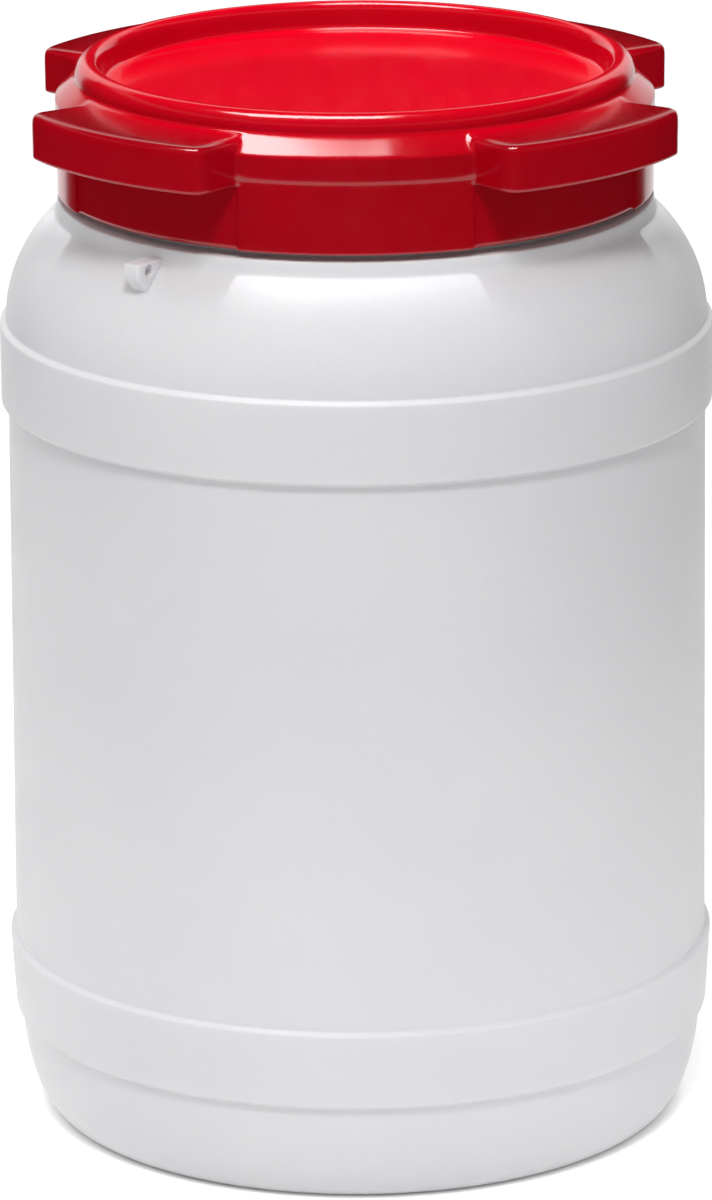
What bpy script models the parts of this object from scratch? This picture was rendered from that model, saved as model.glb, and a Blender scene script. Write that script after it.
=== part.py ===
"""Wide-mouth drum of blow-moulded plastic: a body with a threaded neck, a screw lid with four grip lugs, and the lid's gasket.

The drum stands on Z = 0 with its axis on Z, and its front faces -Y. All sizes are in metres and all angles in degrees.
"""
import math

import bmesh
import bpy
from mathutils import Vector

# Facets round every turned surface
FACETS = 48
MERGE_DISTANCE = 0.000001
SHARP_ANGLE = 32.0
FULL_TURN = 360.0
QUARTER_TURN = FULL_TURN / 4
FRONT_ANGLE = -QUARTER_TURN
BEVEL_PROFILE = 0.5

# Overall
OVERALL_HEIGHT = 0.4458

# Gaps between pieces that touch, and an overrun for cutters
SEAT_GAP = 0.0003
OVERRUN = 0.0040

# Body: wall, bands, shoulder and base
BODY_WALL = 0.0028
WALL_RADIUS_TOP = 0.1434
WALL_RADIUS_BOTTOM = 0.1447
BAND_BEVEL = 0.0014
UPPER_BAND_HEIGHT = 0.0350
UPPER_BAND_PROUD = 0.0030
LOWER_BAND_LOW = 0.0425
LOWER_BAND_HEIGHT = 0.0325
LOWER_BAND_PROUD = 0.0023
LOWER_BAND_TAPER = 0.0018
SHOULDER_HEIGHT = 0.0487
SHOULDER_STEP = 0.0025
SHOULDER_CROWN = 0.0135
SHOULDER_FALL = 0.0034
SHOULDER_DROP = 0.0254
SHOULDER_STEPS = 8
BASE_STEP = 0.0022
CORNER_WIDTH = 0.0169
CORNER_HEIGHT = 0.0492
CORNER_STEPS = 7
RECESS_DEPTH = 0.0032
STACK_CLEARANCE = 0.0014

# Neck and threads: two starts each, right-handed, with the lid's ridges running just under the neck's
NECK_RADIUS = 0.1124
NECK_WALL = 0.0036
NECK_GAP = 0.0062
RIM_BEVEL = 0.0008
THREAD_STARTS = 2
THREAD_LEAD = 0.0200
THREAD_DEPTH = 0.0022
THREAD_CLEARANCE = 0.0011
LID_THREAD_CLEARANCE = 0.0009
THREAD_BEDDING = 0.0008
THREAD_RISE_SHARE = 0.55
THREAD_TOP_SHARE = 0.16
THREAD_ROOT_SHARE = 0.40
THREAD_CREST_SHARE = 0.18
THREAD_END_SHARE = 0.35

# Seal eyelet: a fin on the shoulder, to the left of the front, with a hole for a seal's wire
FIN_ANGLE = 40.6
FIN_THICKNESS = 0.0070
FIN_REACH = 0.0246
FIN_DROP = 0.0026
FIN_TIP = 0.0060
FIN_BEVEL = 0.0010
FIN_BEVEL_STEPS = 2
FIN_ROOT_SHARES = (0.17, 0.30, 0.46)
FIN_HOLE_RADIUS = 0.0020
FIN_HOLE_REACH = 0.0166
FIN_HOLE_DROP = 0.0056
FIN_HOLE_SIDES = 16

# Lid: panel, raised ring, roof, skirt and lugs
LID_WALL = 0.0026
SKIRT_WALL = 0.0020
SKIRT_DEPTH = 0.0450
SKIRT_BEVEL = 0.0006
PAD_THICKNESS = 0.0045
ROOF_THICKNESS = 0.0032
ROOF_CORNER = 0.0019
ROOF_FALL = 0.0069
EDGE_ROUND = 0.0010
RING_SETBACK = 0.0080
RING_RISE = 0.0075
RING_ROUND = 0.0054
RING_STEPS = 4
CREST_WALL = 0.0020
CREST_BEVEL = 0.0007
DISH_DEPTH = 0.0109
DISH_DRAFT = 0.0030
DISH_ROUND = 0.0026
DISH_ROUND_STEPS = 3
DISH_LEAN = 15.0
PLUG_CLEARANCE = 0.0006
PLUG_DRAFT = 0.0014
CHANNEL_BEVEL = 0.0008
LUG_COUNT = 4
LUG_SPAN = 44.0
LUG_DRAFT = 9.0
LUG_REACH = 0.0217
LUG_HEIGHT = 0.0203
LUG_WALL = 0.0025
LUG_ROUND = 0.0045
LUG_ROUND_STEPS = 3
LUG_SINK = 0.0018
LUG_BEDDING = 0.0010
LUG_HEEL_SHARE = 0.75
LUG_STEPS = 6
LEDGE_DROP = 0.0179
LEDGE_STEP = 0.0004
HOLLOW_SETBACK = 0.0003
SKIRT_MARGIN = 0.0010

# Gasket
GASKET_THICKNESS = 0.0024
GASKET_LAP = 0.0010

# Worked out from the sizes above: heights from the lid down to the shoulder
LID_ROOF = OVERALL_HEIGHT - RING_RISE
ROOF_UNDERSIDE = LID_ROOF - ROOF_THICKNESS
SKIRT_LOW = LID_ROOF - SKIRT_DEPTH
LUG_LOW = LID_ROOF - LUG_HEIGHT
LEDGE_LOW = LID_ROOF - LEDGE_DROP
PANEL_TOP = OVERALL_HEIGHT - DISH_DEPTH
PANEL_UNDERSIDE = PANEL_TOP - LID_WALL
GASKET_TOP = ROOF_UNDERSIDE - SEAT_GAP
GASKET_LOW = GASKET_TOP - GASKET_THICKNESS
NECK_TOP = GASKET_LOW - SEAT_GAP
NECK_BASE = SKIRT_LOW - NECK_GAP
UPPER_BAND_HIGH = NECK_BASE - SHOULDER_HEIGHT
UPPER_BAND_LOW = UPPER_BAND_HIGH - UPPER_BAND_HEIGHT
LOWER_BAND_HIGH = LOWER_BAND_LOW + LOWER_BAND_HEIGHT

# Radii of the neck and the lid, each a clearance or a wall away from the last
NECK_BORE = NECK_RADIUS - NECK_WALL
NECK_THREAD_CREST = NECK_RADIUS + THREAD_DEPTH
SKIRT_BORE = NECK_THREAD_CREST + THREAD_CLEARANCE
SKIRT_RADIUS = SKIRT_BORE + SKIRT_WALL
LID_THREAD_CREST = NECK_RADIUS + LID_THREAD_CLEARANCE
EDGE_RADIUS = SKIRT_RADIUS + PAD_THICKNESS
RING_RADIUS = EDGE_RADIUS - RING_SETBACK
PLUG_RADIUS = NECK_BORE - PLUG_CLEARANCE
CREST_INNER_RADIUS = PLUG_RADIUS - CREST_WALL
CREST_OUTER_RADIUS = RING_RADIUS - RING_ROUND
DISH_RADIUS = CREST_INNER_RADIUS - DISH_DRAFT
CHANNEL_RADIUS = RING_RADIUS - LID_WALL
LUG_RADIUS = EDGE_RADIUS + LUG_REACH

# Radii of the body
UPPER_BAND_RADIUS = WALL_RADIUS_TOP + UPPER_BAND_PROUD
SHOULDER_RADIUS = UPPER_BAND_RADIUS - SHOULDER_STEP
LOWER_BAND_RADIUS = WALL_RADIUS_BOTTOM + LOWER_BAND_PROUD
LOWER_BAND_FOOT_RADIUS = LOWER_BAND_RADIUS - LOWER_BAND_TAPER
BASE_RADIUS = LOWER_BAND_FOOT_RADIUS - BASE_STEP
FOOT_RADIUS = BASE_RADIUS - CORNER_WIDTH
RECESS_RADIUS = RING_RADIUS + STACK_CLEARANCE

# Thread, as stretches of the skirt's depth and shares of the distance from ridge to ridge
THREAD_PITCH = THREAD_LEAD / THREAD_STARTS
THREAD_RISE = SKIRT_DEPTH * THREAD_RISE_SHARE
THREAD_ROOT = THREAD_PITCH * THREAD_ROOT_SHARE
THREAD_CREST = THREAD_PITCH * THREAD_CREST_SHARE
NECK_THREAD_HIGH = NECK_TOP - SKIRT_DEPTH * THREAD_TOP_SHARE
NECK_THREAD_LOW = NECK_THREAD_HIGH - THREAD_RISE
LID_THREAD_LOW = NECK_THREAD_LOW - THREAD_ROOT - SEAT_GAP


def clear_scene():
    """Removes every object of the scene."""
    for item in list(bpy.data.objects):
        bpy.data.objects.remove(item, do_unlink=True)


def plastic(name, colour, roughness):
    """Returns a Principled material for a moulded, non-metallic piece."""
    material = bpy.data.materials.new(name)
    material.use_nodes = True
    shader = material.node_tree.nodes["Principled BSDF"]
    shader.inputs["Base Color"].default_value = (*colour, 1.0)
    shader.inputs["Roughness"].default_value = roughness
    shader.inputs["Metallic"].default_value = 0.0
    return material


def add_object(name, mesh_data, material=None):
    """Turns a bmesh into a smooth-shaded object with flat facets and its origin on the drum's axis."""
    bmesh.ops.remove_doubles(mesh_data, verts=mesh_data.verts, dist=MERGE_DISTANCE)
    bmesh.ops.triangulate(mesh_data, faces=mesh_data.faces)
    bmesh.ops.recalc_face_normals(mesh_data, faces=mesh_data.faces)
    mesh = bpy.data.meshes.new(name)
    mesh_data.to_mesh(mesh)
    mesh_data.free()
    mesh.shade_smooth()
    mesh.set_sharp_from_angle(angle=math.radians(SHARP_ANGLE))
    item = bpy.data.objects.new(name, mesh)
    bpy.context.collection.objects.link(item)
    if material:
        mesh.materials.append(material)
    return item


def combine(target, operation, tool):
    """Unites the target with the tool or cuts it, and hides the tool."""
    modifier = target.modifiers.new(f"{operation.lower()} {tool.name}", "BOOLEAN")
    modifier.operation = operation
    modifier.solver = "EXACT"
    modifier.object = tool
    tool.hide_render = True
    tool.display_type = "WIRE"


def at_angle(radius, angle, height):
    """Point at an angle in degrees from +X, turning towards +Y."""
    return Vector((radius * math.cos(math.radians(angle)), radius * math.sin(math.radians(angle)), height))


def turned(outline, first_angle=0.0):
    """Spins an outline of (radius, height) points once round the axis; an outline that misses the axis is closed."""
    mesh_data = bmesh.new()
    verts = [mesh_data.verts.new(at_angle(radius, first_angle, height)) for radius, height in outline]
    edges = [mesh_data.edges.new(pair) for pair in zip(verts, verts[1:])]
    if outline[0][0] > 0.0:
        edges.append(mesh_data.edges.new((verts[-1], verts[0])))
    bmesh.ops.spin(mesh_data, geom=verts + edges, cent=(0, 0, 0), axis=(0, 0, 1), angle=math.tau, steps=FACETS,
                   use_merge=True)
    return mesh_data


def swept(mesh_data, rings, rounded=None):
    """Bridges rings of points into a closed solid and returns the edges that run through or end at a rounded corner."""
    loops = [[mesh_data.verts.new(point) for point in ring] for ring in rings]
    count = len(loops[0])
    for near, far in zip(loops, loops[1:]):
        for index in range(count):
            following = (index + 1) % count
            mesh_data.faces.new((near[index], near[following], far[following], far[index]))
    mesh_data.faces.new(loops[0])
    mesh_data.faces.new(loops[-1])
    if rounded is None:
        return []
    pairs = [(near[rounded], far[rounded]) for near, far in zip(loops, loops[1:])]
    for end in (loops[0], loops[-1]):
        pairs.append((end[rounded - 1], end[rounded]))
        pairs.append((end[rounded], end[rounded + 1]))
    return [mesh_data.edges.get(pair) for pair in pairs]


def arc(centre, radii, start, end, steps):
    """Points of an upright ellipse's arc about a centre, with angles from the outward direction."""
    angles = [math.radians(start + (end - start) * step / steps) for step in range(steps + 1)]
    return [(centre[0] + radii[0] * math.cos(angle), centre[1] + radii[1] * math.sin(angle)) for angle in angles]


def shoulder_point(share, inset=0.0):
    """Point of the shoulder's curve, from the neck (0) to the upper band (1), set in by a distance along its normal."""
    handles = (
        Vector((NECK_RADIUS, NECK_BASE)),
        Vector((NECK_RADIUS + SHOULDER_CROWN, NECK_BASE - SHOULDER_FALL)),
        Vector((SHOULDER_RADIUS, UPPER_BAND_HIGH + SHOULDER_DROP)),
        Vector((SHOULDER_RADIUS, UPPER_BAND_HIGH)),
    )
    rest = 1.0 - share
    point = (handles[0] * rest ** 3 + handles[1] * 3 * rest ** 2 * share + handles[2] * 3 * rest * share ** 2
             + handles[3] * share ** 3)
    run = ((handles[1] - handles[0]) * rest ** 2 + (handles[2] - handles[1]) * 2 * rest * share
           + (handles[3] - handles[2]) * share ** 2)
    inward = Vector((run.y, -run.x)).normalized()
    return point + inward * inset


def inset_outline(outline, distance):
    """Moves an outline that runs down the outer side inwards, keeping the wall's thickness."""
    points = [Vector(point) for point in outline]
    normals = []
    for first, second in zip(points, points[1:]):
        run = (second - first).normalized()
        normals.append(Vector((run.y, -run.x)))
    moved = []
    for index, point in enumerate(points):
        before = normals[max(index - 1, 0)]
        after = normals[min(index, len(normals) - 1)]
        middle = (before + after).normalized()
        moved.append(point + middle * (distance / middle.dot(after)))
    return moved


def body_skin():
    """Outer outline of the body from the shoulder down to the middle of the base."""
    skin = [tuple(shoulder_point(step / SHOULDER_STEPS)) for step in range(1, SHOULDER_STEPS + 1)]
    skin += [
        (UPPER_BAND_RADIUS, UPPER_BAND_HIGH - BAND_BEVEL),
        (UPPER_BAND_RADIUS, UPPER_BAND_LOW + BAND_BEVEL),
        (WALL_RADIUS_TOP, UPPER_BAND_LOW),
        (WALL_RADIUS_BOTTOM, LOWER_BAND_HIGH + BAND_BEVEL),
        (LOWER_BAND_RADIUS, LOWER_BAND_HIGH),
        (LOWER_BAND_FOOT_RADIUS, LOWER_BAND_LOW + BAND_BEVEL),
    ]
    start = math.degrees(math.asin(1.0 - LOWER_BAND_LOW / CORNER_HEIGHT))
    skin += arc((FOOT_RADIUS, CORNER_HEIGHT), (CORNER_WIDTH, -CORNER_HEIGHT), start, QUARTER_TURN, CORNER_STEPS)
    skin += [(RECESS_RADIUS, 0.0), (RECESS_RADIUS - RECESS_DEPTH, RECESS_DEPTH), (0.0, RECESS_DEPTH)]
    return skin


def thread(low, root_radius, crest_radius):
    """Ridges of a right-handed thread that climb from a height, each thinned at both ends."""
    mesh_data = bmesh.new()
    steps = round(FACETS * THREAD_RISE / THREAD_LEAD)
    for start in range(THREAD_STARTS):
        rings = []
        for step in range(steps + 1):
            angle = FULL_TURN * (step / FACETS + start / THREAD_STARTS)
            height = low + THREAD_RISE * step / steps
            fullness = 1.0 if 0 < step < steps else THREAD_END_SHARE
            crest = root_radius + (crest_radius - root_radius) * fullness
            root_half = THREAD_ROOT * fullness / 2
            crest_half = THREAD_CREST * fullness / 2
            rings.append([at_angle(root_radius, angle, height - root_half), at_angle(crest, angle, height - crest_half),
                          at_angle(crest, angle, height + crest_half), at_angle(root_radius, angle, height + root_half)])
        swept(mesh_data, rings)
    return mesh_data


def seal_fin():
    """Fin that stands out of the shoulder, bedded in the middle of the wall."""
    roots = [shoulder_point(share, BODY_WALL / 2) for share in FIN_ROOT_SHARES]
    tip_radius = NECK_RADIUS + FIN_REACH
    top = NECK_BASE - FIN_DROP
    outline = [tuple(root) for root in reversed(roots)]
    outline += [(roots[0].x, top), (tip_radius, top), (tip_radius, top - FIN_TIP)]
    mesh_data = bmesh.new()
    rings = [[(radius, side * FIN_THICKNESS / 2, height) for radius, height in outline] for side in (-1, 1)]
    swept(mesh_data, rings)
    tips = [vert for vert in mesh_data.verts if vert.co.x > tip_radius - MERGE_DISTANCE]
    edges = [edge for edge in mesh_data.edges if edge.verts[0] in tips and edge.verts[1] in tips]
    bmesh.ops.bevel(mesh_data, geom=edges, offset=FIN_BEVEL, offset_type="OFFSET", segments=FIN_BEVEL_STEPS,
                    profile=BEVEL_PROFILE, affect="EDGES", clamp_overlap=True)
    return mesh_data


def seal_hole():
    """Round cutter across the fin."""
    centre = (NECK_RADIUS + FIN_HOLE_REACH, NECK_BASE - FIN_HOLE_DROP)
    circle = arc(centre, (FIN_HOLE_RADIUS, FIN_HOLE_RADIUS), 0.0, FULL_TURN, FIN_HOLE_SIDES)[:-1]
    half_length = FIN_THICKNESS / 2 + OVERRUN
    mesh_data = bmesh.new()
    swept(mesh_data, [[(radius, side * half_length, height) for radius, height in circle] for side in (-1, 1)])
    return mesh_data


def make_drum_body():
    """Blow-moulded body with its neck, thread and seal eyelet."""
    skin = body_skin()
    liner = inset_outline(skin, BODY_WALL)
    liner[-1].x = 0.0
    outline = [(0.0, liner[-1].y)] + [tuple(point) for point in reversed(liner[:-1])]
    outline += [
        (NECK_BORE, NECK_BASE - BODY_WALL),
        (NECK_BORE, NECK_TOP - RIM_BEVEL),
        (NECK_BORE + RIM_BEVEL, NECK_TOP),
        (NECK_RADIUS - RIM_BEVEL, NECK_TOP),
        (NECK_RADIUS, NECK_TOP - RIM_BEVEL),
        (NECK_RADIUS, NECK_BASE),
    ]
    outline += skin
    body = add_object("drum_body", turned(outline), plastic("white_plastic", (0.80, 0.80, 0.82), 0.42))
    neck_ridges = thread(NECK_THREAD_LOW, NECK_RADIUS - THREAD_BEDDING, NECK_THREAD_CREST)
    combine(body, "UNION", add_object("neck_thread", neck_ridges))
    front_left = math.radians(FRONT_ANGLE - FIN_ANGLE)
    for operation, name, shape in (("UNION", "seal_fin", seal_fin()), ("DIFFERENCE", "seal_hole", seal_hole())):
        tool = add_object(name, shape)
        tool.rotation_euler.z = front_left
        combine(body, operation, tool)
    return body


def lid_outline():
    """Outline of the lid as if its skirt were full-height all round, from the panel's middle out and back underneath."""
    top = [(0.0, PANEL_TOP)]
    dish_centre = (DISH_RADIUS - DISH_ROUND, PANEL_TOP + DISH_ROUND)
    top += arc(dish_centre, (DISH_ROUND, DISH_ROUND), -QUARTER_TURN, -DISH_LEAN, DISH_ROUND_STEPS)
    top += [(CREST_INNER_RADIUS - CREST_BEVEL, OVERALL_HEIGHT - CREST_BEVEL), (CREST_INNER_RADIUS, OVERALL_HEIGHT)]
    ring_centre = (CREST_OUTER_RADIUS, OVERALL_HEIGHT - RING_ROUND)
    top += arc(ring_centre, (RING_ROUND, RING_ROUND), QUARTER_TURN, 0.0, RING_STEPS)
    top += [(RING_RADIUS, LID_ROOF), (EDGE_RADIUS - EDGE_ROUND, LID_ROOF - ROOF_FALL)]
    wall = [
        (EDGE_RADIUS, LID_ROOF - ROOF_FALL - EDGE_ROUND),
        (EDGE_RADIUS, LEDGE_LOW + LEDGE_STEP),
        (EDGE_RADIUS - LEDGE_STEP, LEDGE_LOW),
        (EDGE_RADIUS - LEDGE_STEP, SKIRT_LOW + SKIRT_BEVEL),
        (EDGE_RADIUS - LEDGE_STEP - SKIRT_BEVEL, SKIRT_LOW),
        (SKIRT_BORE + SKIRT_BEVEL, SKIRT_LOW),
        (SKIRT_BORE, SKIRT_LOW + SKIRT_BEVEL),
        (SKIRT_BORE, ROOF_UNDERSIDE - ROOF_CORNER),
        (SKIRT_BORE - ROOF_CORNER, ROOF_UNDERSIDE),
    ]
    ceiling = OVERALL_HEIGHT - LID_WALL
    channel = [
        (CHANNEL_RADIUS, ROOF_UNDERSIDE),
        (CHANNEL_RADIUS, ceiling - CHANNEL_BEVEL),
        (CHANNEL_RADIUS - CHANNEL_BEVEL, ceiling),
        (PLUG_RADIUS, ceiling),
        (PLUG_RADIUS - PLUG_DRAFT, PANEL_UNDERSIDE),
        (0.0, PANEL_UNDERSIDE),
    ]
    return top + wall + channel


def lug_middles():
    """Angles of the lugs' middles: halfway between front, right, back and left."""
    return [FULL_TURN * (index + 0.5) / LUG_COUNT for index in range(LUG_COUNT)]


def lug_end(radius, margin):
    """Angle from a lug's middle to its flat end at a radius, with the end moved outwards by a margin.

    LUG_SPAN is the angle between the ends at the pads' wall, and each end opens outwards by LUG_DRAFT from the middle's direction.
    """
    offset = EDGE_RADIUS * math.sin(math.radians(LUG_SPAN / 2 - LUG_DRAFT)) + margin
    return LUG_DRAFT + math.degrees(math.asin(offset / radius))


def lug_rings(outline, middle, margin=0.0):
    """Repeats an outline of (radius, height) points from one end of a lug to the other."""
    shares = [2 * step / LUG_STEPS - 1 for step in range(LUG_STEPS + 1)]
    return [[at_angle(radius, middle + lug_end(radius, margin) * share, height) for radius, height in outline]
            for share in shares]


def lug_blocks():
    """Solid lugs with rounded tops and corners, bedded in the lid's roof and skirt."""
    outline = [
        (EDGE_RADIUS - LUG_BEDDING, LUG_LOW - OVERRUN),
        (LUG_RADIUS, LUG_LOW - OVERRUN),
        (LUG_RADIUS, LID_ROOF - LUG_SINK),
        (RING_RADIUS + LUG_BEDDING, LID_ROOF - LUG_SINK),
        (SKIRT_BORE + SKIRT_WALL * LUG_HEEL_SHARE, ROOF_UNDERSIDE - LUG_ROUND),
    ]
    mesh_data = bmesh.new()
    edges = []
    for middle in lug_middles():
        edges += swept(mesh_data, lug_rings(outline, middle), rounded=2)
    bmesh.ops.bevel(mesh_data, geom=edges, offset=LUG_ROUND, offset_type="OFFSET", segments=LUG_ROUND_STEPS,
                    profile=BEVEL_PROFILE, affect="EDGES", clamp_overlap=True)
    return mesh_data


def skirt_cutters():
    """Cutters that set the skirt back below each lug and trim the lugs' lower edges."""
    outline = [
        (SKIRT_RADIUS, SKIRT_LOW - OVERRUN),
        (LUG_RADIUS + OVERRUN, SKIRT_LOW - OVERRUN),
        (LUG_RADIUS + OVERRUN, LUG_LOW),
        (SKIRT_RADIUS, LUG_LOW),
    ]
    mesh_data = bmesh.new()
    for middle in lug_middles():
        swept(mesh_data, lug_rings(outline, middle, SKIRT_MARGIN))
    return mesh_data


def lug_hollows():
    """Cutters that open each lug from below and leave its outer wall, end walls and roof."""
    inner = SKIRT_RADIUS + HOLLOW_SETBACK
    outer = LUG_RADIUS - LUG_WALL
    roof = LID_ROOF - LUG_SINK - LUG_WALL
    outline = [(inner, LUG_LOW - OVERRUN / 2), (outer, LUG_LOW - OVERRUN / 2), (outer, roof), (inner, roof)]
    mesh_data = bmesh.new()
    for middle in lug_middles():
        swept(mesh_data, lug_rings(outline, middle, -LUG_WALL))
    return mesh_data


def make_screw_lid():
    """Moulded lid: turned shell, four hollow grip lugs, and the thread inside its skirt.

    The shell starts half a facet round, so that the lugs' ends cross its facets and not their edges.
    """
    shell = turned(lid_outline(), FULL_TURN / FACETS / 2)
    lid = add_object("screw_lid", shell, plastic("red_plastic", (0.62, 0.0, 0.012), 0.25))
    combine(lid, "UNION", add_object("lug_blocks", lug_blocks()))
    combine(lid, "DIFFERENCE", add_object("skirt_cutters", skirt_cutters()))
    combine(lid, "DIFFERENCE", add_object("lug_hollows", lug_hollows()))
    ridges = thread(LID_THREAD_LOW, SKIRT_BORE + THREAD_BEDDING, LID_THREAD_CREST)
    combine(lid, "UNION", add_object("lid_thread", ridges))
    return lid


def make_lid_gasket():
    """Flat sealing ring between the lid's roof and the neck's rim."""
    outer = NECK_RADIUS + GASKET_LAP
    outline = [(NECK_BORE, GASKET_LOW), (NECK_BORE, GASKET_TOP), (outer, GASKET_TOP), (outer, GASKET_LOW)]
    return add_object("lid_gasket", turned(outline), plastic("seal_rubber", (0.02, 0.02, 0.02), 0.7))


def main():
    """Builds the drum's three pieces."""
    clear_scene()
    make_drum_body()
    make_lid_gasket()
    make_screw_lid()


main()
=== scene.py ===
"""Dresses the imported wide-mouth drum: a blow-moulded white body, a red screw lid with four grip lugs, and a gasket.

The drum stands on Z = 0 with its axis on Z and its front towards -Y. All sizes are in metres and all angles in degrees.
"""

import logging
import math
from collections.abc import Callable, Hashable, Iterable, Sequence
from dataclasses import dataclass
from enum import Enum

import bmesh
import bpy
from mathutils import Matrix, Vector


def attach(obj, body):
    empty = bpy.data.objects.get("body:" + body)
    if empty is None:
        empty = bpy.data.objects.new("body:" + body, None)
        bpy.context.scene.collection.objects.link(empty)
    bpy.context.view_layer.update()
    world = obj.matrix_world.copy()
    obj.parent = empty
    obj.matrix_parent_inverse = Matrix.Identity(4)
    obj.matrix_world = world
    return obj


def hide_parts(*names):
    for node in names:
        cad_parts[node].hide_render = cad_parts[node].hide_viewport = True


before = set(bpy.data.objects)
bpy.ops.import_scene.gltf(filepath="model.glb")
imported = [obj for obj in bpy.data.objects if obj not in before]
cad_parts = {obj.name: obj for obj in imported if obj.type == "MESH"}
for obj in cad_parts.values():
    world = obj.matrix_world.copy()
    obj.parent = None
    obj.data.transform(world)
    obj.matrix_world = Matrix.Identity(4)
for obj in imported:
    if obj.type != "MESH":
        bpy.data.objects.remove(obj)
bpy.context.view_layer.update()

LOG = logging.getLogger("drum")
FULL_TURN = 360.0
MERGE = 0.000002
NEAR = 0.00004
ON_AXIS = 0.001
SAME_ANGLE = 0.05
HALF_RUN = 0.49

Piece = bpy.types.Object
Node = bpy.types.Node
Socket = bpy.types.NodeSocket
Vert = bmesh.types.BMVert
Edge = bmesh.types.BMEdge
Face = bmesh.types.BMFace
Point = tuple[float, float]
Place = tuple[float, float, float]
Colour = tuple[float, float, float]

ORIGIN: Place = (0.0, 0.0, 0.0)


class Body(Enum):
    """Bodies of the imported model, which the pieces ride on."""

    DRUM = "drum"
    SEAL = "seal"
    LID = "lid"


class Slot(Enum):
    """Material slots of the record."""

    WHITE = "white_plastic"
    RED = "red_plastic"
    RUBBER = "seal_rubber"


class Kind(Enum):
    """What edit mode selects, with the name of its list in a mesh."""

    VERT = "verts"
    EDGE = "edges"
    FACE = "faces"


@dataclass(frozen=True)
class Corner:
    """Corner of a turned section: its radius and height, and the radius of its rounding."""

    radius: float
    height: float
    fillet: float = 0.0


def rounded(corners: Sequence[Corner], degrees_a_step: float) -> list[Point]:
    """Rounds the corners of a section.

    Args:
        corners: The section's corners in order; the first and last stay as they are.
        degrees_a_step: Turn of the outline between two points of a rounding.

    Returns:
        The outline's points as (radius, height).
    """
    points = [Vector((corner.radius, corner.height)) for corner in corners]
    outline = [tuple(points[0])]
    for before, here, after, corner in zip(points, points[1:], points[2:], corners[1:-1]):
        arriving, leaving = here - before, after - here
        turn = arriving.angle(leaving)
        if corner.fillet <= 0.0 or turn < math.radians(1.0):
            outline.append(tuple(here))
            continue
        reach = min(corner.fillet * math.tan(turn / 2), arriving.length * HALF_RUN, leaving.length * HALF_RUN)
        start = here - arriving.normalized() * reach
        end = here + leaving.normalized() * reach
        steps = max(2, math.ceil(math.degrees(turn) / degrees_a_step))
        for share in (step / steps for step in range(steps + 1)):
            outline.append(tuple(start.lerp(here, share).lerp(here.lerp(end, share), share)))
    return [*outline, tuple(points[-1])]


def inset(corners: Sequence[Corner], distance: float, fillet: float) -> list[Corner]:
    """Moves a section that runs down the outer side inwards, keeping the wall's thickness.

    Args:
        corners: Corners of the outer side.
        distance: Thickness of the wall.
        fillet: Rounding of every moved corner.

    Returns:
        Corners of the inner side, in the same order.
    """
    points = [Vector((corner.radius, corner.height)) for corner in corners]
    runs = [(second - first).normalized() for first, second in zip(points, points[1:])]
    normals = [Vector((run.y, -run.x)) for run in runs]
    moved = []
    for point, before, after in zip(points, normals[:1] + normals, normals + normals[-1:]):
        middle = (before + after).normalized()
        place = point + middle * (distance / middle.dot(after))
        moved.append(Corner(place.x, place.y, fillet))
    return moved


def heading(point: Vector) -> float:
    """Returns a point's angle round the axis, from 0 at +X to 360 by way of +Y."""
    return math.degrees(math.atan2(point.y, point.x)) % FULL_TURN


def section(point: Vector) -> Point:
    """Returns a point's radius and height."""
    return point.xy.length, point.z


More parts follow.
